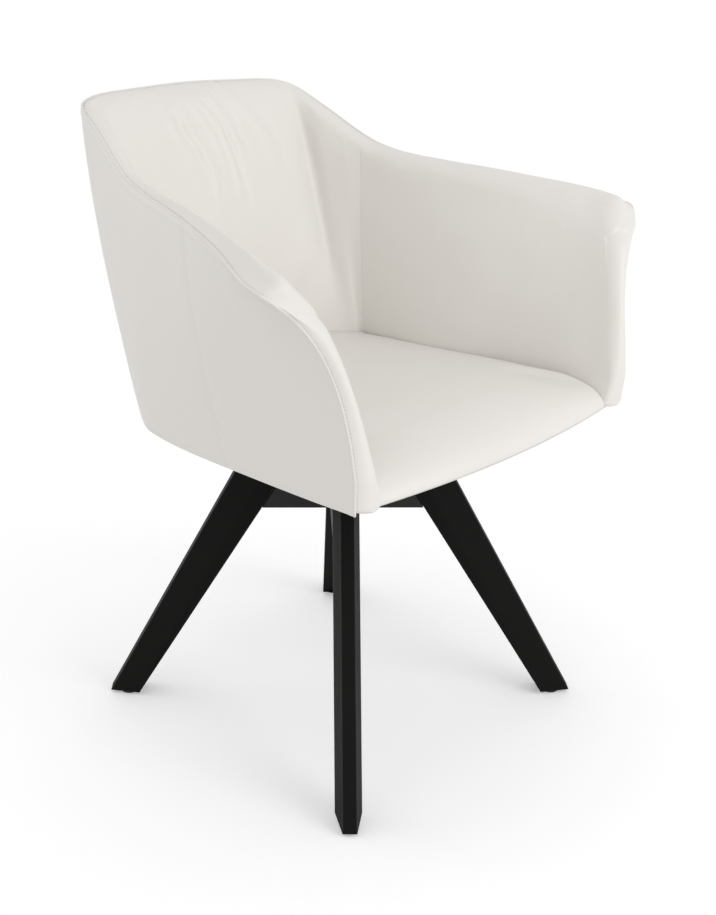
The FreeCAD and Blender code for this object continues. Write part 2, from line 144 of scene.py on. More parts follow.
clothForm = {
    "frames": 18, "pressure": 2.0, "quality": 4, "mass": 0.3, "tension": 40, "bending": 6.0,
    "cap": 4.0,            # no point moves further than the cap
    "smoothing": 8,        # how often each move is averaged with its neighbours'
    "freeFrom": 1 / 3,     # a vertex that is free by this share or more keeps its whole move
}


def settle(piece):
    # Cloth under pressure between its held seams. The result is written to the mesh.
    piece.vertex_groups.new(name="held")
    modifier = piece.modifiers.new("cloth", "CLOTH")
    settings = modifier.settings
    settings.quality = clothForm["quality"]
    settings.mass = clothForm["mass"]
    settings.tension_stiffness = clothForm["tension"]
    settings.compression_stiffness = clothForm["tension"]
    settings.shear_stiffness = clothForm["tension"] / 2
    settings.bending_stiffness = clothForm["bending"]
    settings.vertex_group_mass = "held"
    settings.pin_stiffness = 1
    settings.use_pressure = True
    settings.uniform_pressure_force = clothForm["pressure"]
    settings.effector_weights.gravity = 0
    modifier.point_cache.frame_end = clothForm["frames"]
    scene = bpy.context.scene
    for number in range(1, clothForm["frames"] + 1):
        scene.frame_set(number)
    settled = piece.evaluated_get(bpy.context.evaluated_depsgraph_get()).to_mesh()
    moves = [after.co - before.co for before, after in zip(piece.data.vertices, settled.vertices)]
    piece.modifiers.remove(modifier)
    scene.frame_set(1)
    furthest = max(move.length for move in moves)
    cap = clothForm["cap"] * mm
    moves = [move * (1 / max(move.length / cap, 1)) for move in moves]
    free = [1 - vert.groups[0].weight for vert in piece.data.vertices]
    for _ in range(clothForm["smoothing"]):
        sums = [move.copy() for move in moves]
        counts = [1] * len(moves)
        for edge in piece.data.edges:
            a, b = edge.vertices
            sums[a] += moves[b]
            sums[b] += moves[a]
            counts[a] += 1
            counts[b] += 1
        keep = [min(share / clothForm["freeFrom"], 1) for share in free]
        moves = [total * (share / count) for total, count, share in zip(sums, counts, keep)]
    for vert, move in zip(piece.data.vertices, moves):
        vert.co += move
    print(piece.name, "settled, furthest point", round(furthest / mm, 1), "mm, kept",
          round(max(move.length for move in moves) / mm, 1), "mm")


def lengthsOf(points):
    # The length walked along a line of points up to each of them.
    lengths = [0.0]
    for a, b in zip(points, points[1:]):
        lengths.append(lengths[-1] + (b - a).length)
    return lengths


def spread(points, shares):
    # Points at the given shares of the length of a line of points.
    lengths = lengthsOf(points)
    result = []
    k = 0
    for share in shares:
        at = share * lengths[-1]
        while k < len(points) - 2 and lengths[k + 1] < at:
            k += 1
        step = max(lengths[k + 1] - lengths[k], 1e-9)
        result.append(points[k].lerp(points[k + 1], min((at - lengths[k]) / step, 1)))
    return result


# The shell's form: stations from the middle of the back to the tip of one arm

shellForm = {
    # rim point, bottom point, inward heading in degrees, depth at the seat, depth at the rim, crown of the
    # inner face, swell of the outer face, power of the flare, height of the roll's crest over the rim
    "back": [
        (Vector((0, 312, 835)), Vector((0, 237, 441)), -90, 47, 33, 13, 13, 1.0, 0),
        (Vector((90, 311, 832.5)), Vector((92, 226, 441)), -97, 47, 33, 12, 13, 1.0, 0.5),
        (Vector((161, 304, 829)), Vector((155, 199, 441)), -114, 46, 32, 8, 13, 1.0, 1),
        (Vector((194, 289, 819.5)), Vector((194, 171, 441)), -135, 44, 30, 4, 12, 1.0, 2),
        (Vector((209, 240, 793.5)), Vector((220, 148, 441)), -157, 47, 28, 2, 15, 1.0, 2),
        (Vector((230, 159, 748.5)), Vector((240, 128, 441)), -180, 55, 28, 2, 16, 1.0, 2.5),
    ],
    "arm": [
        (Vector((230, 159, 748.5)), Vector((240, 128, 441)), -180, 55, 28, 2, 16, 1.0, 2.5),
        (Vector((242, 105, 734)), Vector((256, 94, 441)), -180, 70, 32, 2, 13, 1.2, 5),
        (Vector((259, 35, 724)), Vector((266, 32, 441)), -180, 77, 36, 2, 8, 1.6, 7.5),
        (Vector((281, -31, 715.5)), Vector((269, -34, 441)), -180, 71, 40, 2, 5, 2.2, 10),
        (Vector((303, -87, 707.5)), Vector((269, -95, 441)), -180, 58, 45, 2, 3, 2.8, 11.5),
        (Vector((325, -133, 700)), Vector((269, -150, 441)), -180, 52, 52, 2, 3, 3.4, 13.5),
        (Vector((341, -169, 693)), Vector((268, -205, 441)), -180, 48, 58, 2, 3, 3.8, 14.5),
        (Vector((349, -206, 686)), Vector((265.5, -258, 441)), -180, 45, 62, 2, 4, 4.0, 13),
    ],
    "seatLine": 477.0,
    "padInset": 3.2,
    "tipRadius": 9.0,      # the rim turns down the front of the arm on this radius
    # how far the front of the arm bows forward at each height, and how far back that reaches
    "push": [(441, 0), (480, 10.3), (520, 13.3), (560, 13.8), (600, 13.2), (640, 12.2), (665, 10.5), (678, 5),
             (688, 0), (760, 0)],
    "pushReach": 150.0, "pushFade": 1.6,
}


def flipped(station):
    rim, foot, heading = station[:3]
    points = (Vector((-rim.x, rim.y, rim.z)), Vector((-foot.x, foot.y, foot.z)))
    return points + (-180 - heading,) + station[3:]


leftHalf = shellForm["back"] + shellForm["arm"][1:]
wholeShell = [flipped(station) for station in leftHalf[:0:-1]] + leftHalf


def rimLengths(stations):
    return lengthsOf([station[0] for station in stations])


def hermite(a, b, slopeA, slopeB, span, t):
    lead = (1 + 2 * t) * (1 - t) ** 2
    tail = t * t * (3 - 2 * t)
    return a * lead + b * tail + slopeA * (span * t * (1 - t) ** 2) - slopeB * (span * t * t * (1 - t))


shellLengths = rimLengths(wholeShell)
shellLength = shellLengths[-1]
armShare = rimLengths(shellForm["arm"])[-1] / shellLength      # the arm's share of the whole rim


def stationAt(share):
    # The section at a share of the way round the rim, from the tip of the right arm to that of the left.
    stations, lengths = wholeShell, shellLengths
    at = min(max(share, 0), 1) * shellLength
    last = len(stations) - 1
    k = max(i for i in range(last) if lengths[i] <= at + 1e-9)
    span = lengths[k + 1] - lengths[k]
    before = max(k - 1, 0)
    after = min(k + 2, last)
    fields = []
    for a, b, p, q in zip(stations[k], stations[k + 1], stations[before], stations[after]):
        slopeA = (b - p) * (1 / (lengths[k + 1] - lengths[before]))
        slopeB = (q - a) * (1 / (lengths[after] - lengths[k]))
        fields.append(hermite(a, b, slopeA, slopeB, span, (at - lengths[k]) / span))
    return tuple(fields)


def inward(station):
    angle = math.radians(station[2])
    return Vector((math.cos(angle), math.sin(angle), 0))


def onStation(station, depth, part):
    return station[1] + (station[0] - station[1]) * part + inward(station) * depth


def outerDepth(station, part):
    lean = (station[0] - station[1]).dot(inward(station) * -1)
    swell, power = station[6], station[7]
    return lean * (part - max(part, 0) ** power) - swell * 4 * part * (1 - part)


def outerPoint(station, part, inset=0.0):
    return onStation(station, outerDepth(station, part) + inset, part)


def tipDrop(share, height):
    # How much lower the rim is near the tips, as a share of the section's height.
    radius = shellForm["tipRadius"]
    toTip = min(share, 1 - share) * shellLength
    if toTip >= radius:
        return 0.0
    return (radius - math.sqrt(max(radius ** 2 - (radius - toTip) ** 2, 0))) / height


def topPart(share, station):
    return 1 - tipDrop(share, (station[0] - station[1]).length)


def along(table, at):
    # Straight lines between the pairs of a table.
    for (a, first), (b, second) in zip(table, table[1:]):
        if at <= b:
            return first + (second - first) * min(max((at - a) / (b - a), 0), 1)
    return table[-1][1]


def easeIn(value):
    value = min(max(value, 0), 1)
    return value * value * (3 - 2 * value)


def pushed(share, point):
    # The front of the arm bows forward between its foot and its tip.
    toTip = min(share, 1 - share) * shellLength
    fade = max(1 - toTip / shellForm["pushReach"], 0) ** shellForm["pushFade"]
    return point + Vector((0, -along(shellForm["push"], point.z) * fade, 0))


# Padding


padForm = {
    "backColumns": 160, "armColumns": 90, "faceRows": 42, "rollRows": 24, "capColumns": 9, "rollEase": 1.35,
    "hold": 1.2,           # rows this near the seam keep its edge crisp
    "tipPacking": 1.5,     # packs the columns towards the tip of the arm
    "backPacking": 0.45,   # packs those of the back towards its middle, where the folds are
    "crestRadius": 16.0, "shoulderRadius": 17.0,    # the top comes down to the front on these radii
    "tipFrom": 640.0, "tipOver": 50.0,              # above this height, over this much
    "outerPart": 0.4,                               # share of the thickness that belongs to the outer side
    "frontEdge": 2.0, "frontBulge": 9.0, "frontBack": 12.0, "frontPeak": 0.45, "frontReach": 70.0,
    "backFrom": 455.0, "backOver": 90.0,            # heights over which the inner front moves back
}
rollForm = {
    "dishFrom": 35.0, "dishOver": 20.0,             # a roll thicker than this is dished on its outer side
    "crestAt": 0.36, "crestDish": 0.2, "riseAt": 0.4, "rise": 0.72, "riseDish": 0.36,
    "innerAt": 0.82, "innerRise": 0.6, "innerDrop": 0.2, "shoulderAt": 0.98, "shoulderDrop": 0.45,
    "faceSteps": 16, "curveSteps": 96, "innerSteps": (0.9, 0.7, 0.45, 0.2, 0.0),
}
holdForm = {
    # where the cloth is held: shares of the thickness, heights, and distances along the rim
    "seam": 0.03, "seamOver": 0.2, "foot": 446.0, "footOver": 30.0, "jointOver": 9.0, "tipOver": 40.0,
    "tipShare": 0.7, "far": 100.0,
}


def smoothCurve(points, count):
    # A smooth line through points, with slopes taken from their neighbours.
    lengths = lengthsOf(points)
    last = len(points) - 1
    result = []
    for number in range(count + 1):
        at = lengths[-1] * number / count
        k = max(i for i in range(last) if lengths[i] <= at + 1e-9)
        before, after = max(k - 1, 0), min(k + 2, last)
        span = lengths[k + 1] - lengths[k]
        slopeA = (points[k + 1] - points[before]) / (lengths[k + 1] - lengths[before])
        slopeB = (points[after] - points[k]) / (lengths[after] - lengths[k])
        result.append(hermite(points[k], points[k + 1], slopeA, slopeB, span, (at - lengths[k]) / span))
    return result


def frontForward(across, z):
    # How far the padded front stands forward at a share of its thickness, from the seam inwards.
    peak, bulge, edge = padForm["frontPeak"], padForm["frontBulge"], padForm["frontEdge"]
    if across <= peak:
        return bulge - (bulge - edge) * ((peak - across) / peak) ** 2
    turn = (across - peak) / (1 - peak)
    back = padForm["frontBack"] * easeIn((z - padForm["backFrom"]) / padForm["backOver"])
    return bulge - (bulge + back) * (1 - math.sqrt(max(1 - turn * turn, 0)))


def padPlace(share, point):
    # Rounds the padding off towards the tip. The fourth value is the share of the thickness.
    across = min(max(point.w, 0), 1)
    place = point.to_3d()
    toTip = min(share, 1 - share) * shellLength
    outer = padForm["outerPart"]
    inner = easeIn((across - outer) / (1 - outer))
    radius = padForm["crestRadius"] + (padForm["shoulderRadius"] - padForm["crestRadius"]) * inner
    if toTip < radius:
        fall = radius - math.sqrt(radius ** 2 - (radius - toTip) ** 2)
        fall *= easeIn(across / outer) * easeIn((place.z - padForm["tipFrom"]) / padForm["tipOver"])
        place.z -= fall
    forward = frontForward(across, place.z) * max(1 - toTip / padForm["frontReach"], 0) ** 2
    return pushed(share, place) - Vector((0, forward, 0))


def padSides(share):
    # The outer and the inner side of a padded section, both from the bottom up to the crest.
    station = stationAt(share)
    inset = shellForm["padInset"]
    depth, crestRise = station[4], station[8]
    rise = 1 / (station[0].z - station[1].z)
    top = topPart(share, station)
    base = outerDepth(station, top) + inset
    full = inset + depth      # the inner face keeps its place where the rim turns down the front
    form = rollForm
    dish = easeIn((depth - form["dishFrom"]) / form["dishOver"])

    def rolled(inside, drop, across):
        part = top + (1 - top) * inside - drop * rise
        place = onStation(station, base + (full - base) * inside, part).to_4d()
        return place + Vector((0, 0, 0, across - 1))

    def innerAt(up):
        # The inner face from the seat line, up 0, to the shoulder, up 1.
        low, high = (shellForm["seatLine"] - station[1].z) * rise, 1 - depth * rise
        inside = station[3] + (full - station[3]) * up + station[5] * 4 * up * (1 - up)
        return onStation(station, inside, low + (high - low) * up).to_4d()

    steps, seam = form["faceSteps"], Vector((0, 0, 0, 1))
    face = [outerPoint(station, top * i / steps, inset).to_4d() - seam for i in range(steps + 1)]
    foot = onStation(station, station[3], 0.0).to_4d()
    crest = form["crestAt"] + form["crestDish"] * dish
    early = crest * form["riseAt"]
    turns = [
        rolled(0, 0, 0),
        rolled(early, -crestRise * (form["rise"] - form["riseDish"] * dish), early),
        rolled(crest, -crestRise, crest),
        rolled(form["innerAt"], -crestRise * form["innerRise"] + depth * form["innerDrop"], form["innerAt"]),
        rolled(form["shoulderAt"], depth * form["shoulderDrop"], 1),
    ]
    curve = smoothCurve(turns + [innerAt(up) for up in form["innerSteps"]], form["curveSteps"])
    crestAt, shoulderAt = (min(range(len(curve)), key=lambda i: (curve[i] - turn).length)
                           for turn in (turns[2], turns[4]))
    faceRows, rollRows = padForm["faceRows"], padForm["rollRows"]
    rising = [1 - (1 - i / (faceRows - 1)) ** padForm["rollEase"] for i in range(faceRows)]
    held = rising[:-2] + [1 - padForm["hold"] * rise, 1.0]
    rolling = [i / rollRows for i in range(rollRows + 1)]
    startRoll = [0.0, padForm["hold"] / (depth * crest)] + rolling[2:]
    outer = spread(face, held) + spread(curve[:crestAt + 1], startRoll)[1:]
    inner = spread([foot] + curve[:shoulderAt - 1:-1], rising)
    inner += spread(curve[shoulderAt:crestAt - 1:-1], rolling)[1:]
    return outer, inner


def padRing(share, turn=None):
    # One ring of a pad. With a turn it lies on the end face, at that share of the way to its middle.
    outer, inner = padSides(share)
    if turn is not None:
        middle = padForm["frontPeak"]
        ends = []
        for a, b in zip(outer, inner):
            span = max(b.w - a.w, 1e-6)
            centre = min(max(middle, a.w), b.w)
            left = a.w + (centre - a.w) * turn
            right = centre + (b.w - centre) * math.cos(turn * math.pi / 2)
            ends.append((a.lerp(b, (left - a.w) / span), a.lerp(b, (right - a.w) / span)))
        outer, inner = [pair[0] for pair in ends], [pair[1] for pair in ends]
    return [(padPlace(share, point), padHeld(point)) for point in outer + inner[-2::-1] + [outer[0]]]


def padHeld(point):
    # The padding is held at the seam, on the frame's side and at the foot.
    seam = easeIn((point.w - holdForm["seam"]) / holdForm["seamOver"])
    foot = easeIn((point.z - holdForm["foot"]) / holdForm["footOver"])
    return max(1 - seam, 1 - foot)


def padMesh(start, end, columns, packed=0):
    # A closed padded form between two shares of the rim, its columns packed towards the start or the end.
    steps = [number / columns for number in range(columns + 1)]
    if packed == 0:
        steps = [step + padForm["backPacking"] * math.sin(step * math.tau) / math.tau for step in steps]
    if packed < 0:
        steps = [step ** padForm["tipPacking"] for step in steps]
    if packed > 0:
        steps = [1 - (1 - step) ** padForm["tipPacking"] for step in steps]
    cap = padForm["capColumns"]
    rings = [padRing(start, turn / cap) for turn in range(cap, 0, -1)]
    rings += [padRing(start + (end - start) * step) for step in steps]
    rings += [padRing(end, turn / cap) for turn in range(1, cap + 1)]

    def heldAt(column, row, place):
        # The joints between the pads are held too, and the tips of the arms in part.
        far, whole = holdForm["far"], (end - start) * shellLength
        walked = steps[min(max(column - cap, 0), columns)] * whole
        toJoint = min(walked if start > 0 else far, whole - walked if end < 1 else far)
        toTip = min(walked if start == 0 else far, whole - walked if end == 1 else far)
        held = max(rings[column][row][1], 1 - easeIn(toJoint / holdForm["jointOver"]))
        return max(held, holdForm["tipShare"] * (1 - easeIn(toTip / holdForm["tipOver"])))

    bm = gridMesh(len(rings) - 1, len(rings[0]) - 1, lambda column, row: rings[column][row][0], heldAt)
    bmesh.ops.remove_doubles(bm, verts=bm.verts, dist=0.001)
    bmesh.ops.recalc_face_normals(bm, faces=bm.faces)
    return bm


foldForm = {
    # lines on the inner back as x and z, with the height and half width of each ridge and its groove's side
    "lines": [
        ([(-34, 836), (-23, 825), (-5, 805), (14, 778), (23, 739), (28, 711), (30, 682), (36, 656)],
         3.4, 6.0, 1),
        ([(-44, 838), (-30, 820), (-14, 796), (1, 768), (9, 738), (13, 712), (15, 690)], 2.1, 5.5, 1),
        ([(-78, 842), (-51, 806), (-38, 777), (-24, 753), (-12, 722), (-10, 680), (-8, 660)],
         2.6, 7.0, -1),
        ([(-98, 842), (-68, 804), (-61, 773), (-48, 752), (-46, 710)], 2.2, 8.0, 1),
        ([(-4, 845), (15, 810), (33, 780), (45, 747), (52, 705)], 2.3, 7.5, 1),
        ([(30, 845), (52, 814), (74, 793), (96, 764), (104, 738), (104, 700)], 2.2, 9.0, 1),
    ],
    "groove": 0.75, "grooveAt": 1.7,                # depth and place of the groove by those of the ridge
    "fadeIn": 0.15, "fadeOut": 0.4, "left": -130, "right": 140, "low": 620,
}


def foldHeight(x, z, line, height, width, side):
    # A ridge with a groove on one side of it, fading out towards both ends.
    best = None
    length = sum((Vector(b) - Vector(a)).length for a, b in zip(line, line[1:]))
    walked = 0
    here = Vector((x, z))
    for a, b in zip(line, line[1:]):
        a, b = Vector(a), Vector(b)
        step = b - a
        share = min(max((here - a).dot(step) / step.length_squared, 0), 1)
        off = here - a.lerp(b, share)
        if best is None or off.length < best[0]:
            across = off.length * (1 if step.cross(off) > 0 else -1)
            best = (off.length, across, (walked + share * step.length) / length)
        walked += step.length
    across, at = best[1] * side / width, best[2]
    fade = easeIn(at / foldForm["fadeIn"]) * easeIn((1 - at) / foldForm["fadeOut"])
    ridge = math.exp(-across ** 2) - foldForm["groove"] * math.exp(-(across - foldForm["grooveAt"]) ** 2)
    return height * fade * ridge


def foldBack(pad):
    # Creases of the leather on the inner back.
    for vert in pad.data.vertices:
        place = vert.co / mm - swivelAxis
        beside = not foldForm["left"] < place.x < foldForm["right"] or place.z < foldForm["low"]
        if beside or vert.normal.y > 0.1:
            continue
        rise = sum(foldHeight(place.x, place.z, *line) for line in foldForm["lines"])
        vert.co += vert.normal * rise * mm
    pad.data.update()


def upholster(piece, node):
    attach(piece, "seat")
    if node:
        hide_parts(node)


def makePads():
    plans = (
        ("armPadRight", "arm_pad_right", 0.0, armShare, padForm["armColumns"], -1),
        ("backPad", "back_pad", armShare, 1 - armShare, padForm["backColumns"], 0),
        ("armPadLeft", "arm_pad_left", 1 - armShare, 1.0, padForm["armColumns"], 1),
    )
    pads = []
    for name, node, start, end, columns, packed in plans:
        pad = asPiece(name, padMesh(start, end, columns, packed), whiteLeather)
        settle(pad)
        if name == "backPad":
            foldBack(pad)
        subdivide(pad)
        upholster(pad, node)
        pads.append(pad)
    print("padding made")
    return pads


# Outer covers


coverForm = {
    "thick": 2.4, "rearColumns": 220, "sideColumns": 56, "rows": 72,
    "split": 0.5,          # where the upright seam divides the arm's outer side
    "slant": 0.09,         # the seam's foot is this share nearer the front, its top as much to the rear
    "hem": 9.0, "hemProud": 0.7, "frontHem": 4.5,
    "pillow": 1.1, "pillowWidth": 14.0, "tuck": 0.9, "tuckWidth": 1.6,
    "hemSharp": 2.5, "rowPacking": 1.5, "crease": 50.0, "far": 1000.0,
}


def coverEnd(side, part):
    # Share of the rim of the upright seam, on one side, at a share of the height.
    at = coverForm["split"] + coverForm["slant"] * (2 * part - 1)
    share = armShare * at
    return share if side < 0 else 1 - share


def coverLift(toTop, toBottom, toSeam, toFront):
    # How proud the leather stands at a distance from each of its edges.
    nearest = min(toTop, toBottom, toSeam, toFront)
    lift = coverForm["pillow"] * (1 - math.exp(-nearest / coverForm["pillowWidth"])) - coverForm["pillow"]
    lift -= coverForm["tuck"] * math.exp(-nearest / coverForm["tuckWidth"])
    for distance, width in ((toTop, coverForm["hem"]), (toFront, coverForm["frontHem"])):
        past = min((distance - width) * coverForm["hemSharp"], 50)      # exp would run over far from the hem
        lift += coverForm["hemProud"] / (1 + math.exp(past))
    return lift


def coverMesh(startOf, endOf, columns, frontAtStart=False, frontAtEnd=False):
    rows = coverForm["rows"]

    def pointAt(column, row):
        part = 1 - (1 - row / rows) ** coverForm["rowPacking"]
        start, end = startOf(part), endOf(part)
        step = column / columns
        if frontAtStart:
            step = step ** padForm["tipPacking"]
        if frontAtEnd:
            step = 1 - (1 - step) ** padForm["tipPacking"]
        share = start + (end - start) * step
        station = stationAt(share)
        height = (station[0] - station[1]).length
        top = topPart(share, station)
        fromStart = (share - start) * shellLength
        fromEnd = (end - share) * shellLength
        far = coverForm["far"]
        toFront = min(fromStart if frontAtStart else far, fromEnd if frontAtEnd else far)
        toSeam = min(far if frontAtStart else fromStart, far if frontAtEnd else fromEnd)
        lift = coverLift((1 - part) * top * height, part * top * height, toSeam, toFront)
        return pushed(share, outerPoint(station, top * part, -lift))

    bm = gridMesh(columns, rows, pointAt)
    bmesh.ops.recalc_face_normals(bm, faces=bm.faces)
    middle = Vector((0, 0, 600))
    if sum(face.normal.dot(face.calc_center_median() - middle) for face in bm.faces) < 0:
        bmesh.ops.reverse_faces(bm, faces=bm.faces)
    bmesh.ops.solidify(bm, geom=bm.faces[:], thickness=coverForm["thick"])
    bmesh.ops.recalc_face_normals(bm, faces=bm.faces)
    for edge in bm.edges:
        edge.smooth = edge.calc_face_angle(0.0) < math.radians(coverForm["crease"])
    return bm


def makeCovers():
    def rightSeam(part):
        return coverEnd(-1, part)

    def leftSeam(part):
        return coverEnd(1, part)

    sideColumns = coverForm["sideColumns"]
    rear = coverMesh(rightSeam, leftSeam, coverForm["rearColumns"])
    right = coverMesh(lambda part: 0.0, rightSeam, sideColumns, frontAtStart=True)
    left = coverMesh(leftSeam, lambda part: 1.0, sideColumns, frontAtEnd=True)
    for name, node, bm in (("rearCover", "rear_cover", rear), ("sideCoverRight", "side_cover_right", right),
                           ("sideCoverLeft", "side_cover_left", left)):
        upholster(asPiece(name, bm, whiteLeather), node)
    print("covers made")


# Welt and stitching along the rim


weltForm = {"radius": 1.6, "inset": 2.3, "up": 0.5, "sides": 8, "step": 3.0}
stitchForm = {"length": 2.8, "pitch": 4.4, "radius": 0.35, "offset": 2.4, "sink": 0.12, "flat": 1.2,
              "up": 1.5, "step": 4.0}


def seamLine(inset, up, step):
    # Points along the rim seam, and down the front of both arms.
    def seamPoint(share, part, rise):
        station = stationAt(share)
        return pushed(share, outerPoint(station, topPart(share, station) * part, inset)) + rise

    height = (stationAt(0.0)[0] - stationAt(0.0)[1]).length
    parts = [i / int(height / step) for i in range(int(height / step))]
    rim = [i / int(shellLength / step) for i in range(int(shellLength / step) + 1)]
    forward, upward = Vector((0, -up, 0)), Vector((0, 0, up))
    points = [seamPoint(0.0, part, forward) for part in parts]
    points += [seamPoint(share, 1.0, upward) for share in rim]
    return points + [seamPoint(1.0, part, forward) for part in parts[::-1]]


def tubeMesh(points, radius, sides):
    # A round tube along points, from circles bridged one to the next.
    bm = bmesh.new()
    loops = []
    side = None
    for i, point in enumerate(points):
        ahead = (points[min(i + 1, len(points) - 1)] - points[max(i - 1, 0)]).normalized()
        side = ahead.orthogonal() if side is None else side - ahead * side.dot(ahead)
        side.normalize()
        frameMatrix = Matrix((side, ahead.cross(side), ahead)).transposed().to_4x4()
        frameMatrix.translation = point
        loops.append(bmesh.ops.create_circle(bm, segments=sides, radius=radius, matrix=frameMatrix)["verts"])
    for a, b in zip(loops, loops[1:]):
        around = {edge for vert in a + b for edge in vert.link_edges}
        edges = [edge for edge in around if edge.is_wire or edge.is_boundary]
        edges = [edge for edge in edges if any(all(v in ring for v in edge.verts) for ring in (a, b))]
        bmesh.ops.bridge_loops(bm, edges=edges)
    bmesh.ops.holes_fill(bm, edges=[edge for edge in bm.edges if edge.is_boundary], sides=0)
    bmesh.ops.recalc_face_normals(bm, faces=bm.faces)
    return bm


def makeWelt():
    points = seamLine(weltForm["inset"], weltForm["up"], weltForm["step"])
    welt = asPiece("rimWelt", tubeMesh(points, weltForm["radius"], weltForm["sides"]), whiteLeather)
    upholster(welt, None)
    print("welt made")


def makeStitches(name, places, material):
    # One short thread at each place, given as point, direction and normal, in metres.
    bm = bmesh.new()
    half = stitchForm["length"] / 2
    for point, ahead, normal in places:
        side = normal.cross(ahead).normalized()
        turn = Matrix((ahead, side, normal)).transposed().to_4x4()
        turn.translation = point / mm - swivelAxis + normal * (stitchForm["radius"] - 2 * stitchForm["sink"])
        size = Matrix.Diagonal((half, stitchForm["radius"] * stitchForm["flat"], stitchForm["radius"], 1))
        bmesh.ops.create_icosphere(bm, subdivisions=1, radius=1, matrix=turn @ size)
    upholster(asPiece(name, bm, material), None)


def alongSurface(points, surface, pitch):
    # Places every pitch along a line of points, laid on the nearest surface. Points are in metres.
    length = sum((b - a).length for a, b in zip(points, points[1:]))
    count = max(int(length / pitch), 2)
    line = spread(points, [i / count for i in range(count + 1)])
    places = []
    for before, after in zip(line, line[1:]):
        spot, normal, _, _ = surface.find_nearest((before + after) / 2)
        ahead = after - before
        ahead = (ahead - normal * ahead.dot(normal)).normalized()
        places.append((spot, ahead, normal))
    return places


def surfaceOf(pieces):
    # A search tree over the finished shape of some pieces, in metres.
    depsgraph = bpy.context.evaluated_depsgraph_get()
    joined = bmesh.new()
    for piece in pieces:
        mesh = piece.evaluated_get(depsgraph).to_mesh()
        joined.from_mesh(mesh)
    tree = BVHTree.FromBMesh(joined)
    joined.free()
    return tree


def stitchRim(pads):
    inset = shellForm["padInset"] + stitchForm["offset"]
    line = [(point + swivelAxis) * mm for point in seamLine(inset, stitchForm["up"], stitchForm["step"])]
    places = alongSurface(line, surfaceOf(pads), stitchForm["pitch"] * mm)
    makeStitches("rimStitching", places, thread)
    print("rim stitched", len(places))


# Seat cushion


cushionForm = {
    "across": 92, "along": 92, "wall": 6, "frontRows": 20,
    "sideEdge": [(-277, 226.6), (-240, 225.6), (-200, 222.8), (-163, 216.2), (-104, 210), (-27, 197.2),
                 (57, 186.2), (100, 183.6), (131, 182.4), (200, 182.4)],
    "rearMiddle": 188.0, "rearCorner": 130.0, "rearPower": 4.0,
    "frontMiddle": -277.0, "frontCorner": -260.5, "rollStart": -184.0,
    "bottom": 441.3, "sideTop": 476.5, "crown": 12.0, "edge": 4.0, "wallFoot": 457.0, "gap": 0.5,
    "rearFall": 4.0, "down": (0, 0.6, 2.0, 4.0), "out": (0, 1.8, 3.2, 4.0), "rearPull": 8,
    "heldTo": 458.0, "heldOver": 16.0,
}


def cushionHalf(y):
    return along(cushionForm["sideEdge"], y) - cushionForm["gap"]


def cushionFront(across):
    middle, corner = cushionForm["frontMiddle"], cushionForm["frontCorner"]
    return middle + (corner - middle) * across ** 2


def cushionTop(across, y):
    # Height of the leather at a share of the half width and a distance along the seat.
    crowned = cushionForm["sideTop"] + cushionForm["crown"] * (1 - across ** 2)
    rear = cushionForm["rearMiddle"]
    if y > 0:
        crowned -= cushionForm["rearFall"] * (y / rear) ** 2
    start = cushionForm["rollStart"]
    if y >= start:
        return crowned
    share = min((start - y) / (start - cushionFront(across)), 1)
    return cushionForm["bottom"] + (crowned - cushionForm["bottom"]) * math.sqrt(1 - share ** 2)


def cushionMesh():
    form = cushionForm
    rearDrop = form["rearMiddle"] - form["rearCorner"]
    wall, edge, rounded = form["wall"], form["edge"], len(form["down"]) - 1

    def pointAt(column, row):
        # The top, with rows past its edge that round it off and then go down the wall.
        u = min(max((column - wall) / form["across"], 0), 1) * 2 - 1
        v = min(row / form["along"], 1)
        rear = form["rearMiddle"] - rearDrop * abs(u) ** form["rearPower"] - form["gap"]
        split = form["frontRows"] / form["along"]
        start = form["rollStart"]
        if v < split:
            angle = (1 - v / split) * math.pi / 2
            y = start - (start - cushionFront(u)) * math.sin(angle)
        else:
            y = start + (rear - start) * (v - split) / (1 - split)
        x = u * cushionHalf(y)
        z = cushionTop(u, y)
        sideSteps = max(wall - column, column - wall - form["across"], 0)
        rearSteps = max(row - form["along"], 0)
        steps = max(sideSteps, rearSteps)
        if steps:
            foot = min(form["wallFoot"], z - 1)
            pull = edge - form["out"][min(steps, rounded)]
            z -= form["down"][min(steps, rounded)]
            if steps > rounded:
                z -= (z - foot) * (steps - rounded) / (wall - rounded)
            x -= math.copysign(pull, x) if sideSteps else 0
            y -= pull if rearSteps else 0
        else:
            x -= math.copysign(edge, x) * abs(u)
            y -= edge * v ** form["rearPull"]
        return Vector((x, y, max(z, form["bottom"])))

    def heldAt(column, row, place):
        return 1 - easeIn((place.z - form["heldTo"]) / form["heldOver"])

    bm = gridMesh(form["across"] + 2 * wall, form["along"] + wall, pointAt, heldAt)
    bmesh.ops.remove_doubles(bm, verts=bm.verts, dist=0.01)
    bmesh.ops.holes_fill(bm, edges=[edge for edge in bm.edges if edge.is_boundary], sides=0)
    bmesh.ops.recalc_face_normals(bm, faces=bm.faces)
    return bm


def makeCushion():
    cushion = asPiece("seatCushion", cushionMesh(), whiteLeather)
    settle(cushion)
    upholster(cushion, "seat_cushion")
    print("cushion made")


# Legs


legForm = {
    "reach": 330.0, "outerSlope": 0.54, "innerFoot": 291.3, "innerSlope": 0.627, "footZ": 4.0, "topZ": 415.0,
    "thick": 34.0, "noseHalf": 9.1, "noseDepth": 41.0, "heelDepth": 3.0, "edge": 0.8,
    "edgeFacing": (0.1, 0.97), "endFacing": 0.9,    # how far a chamfer's faces look sideways and upwards
    "angles": {"FrontLeft": -45, "RearLeft": 45, "RearRight": 135, "FrontRight": -135},
}


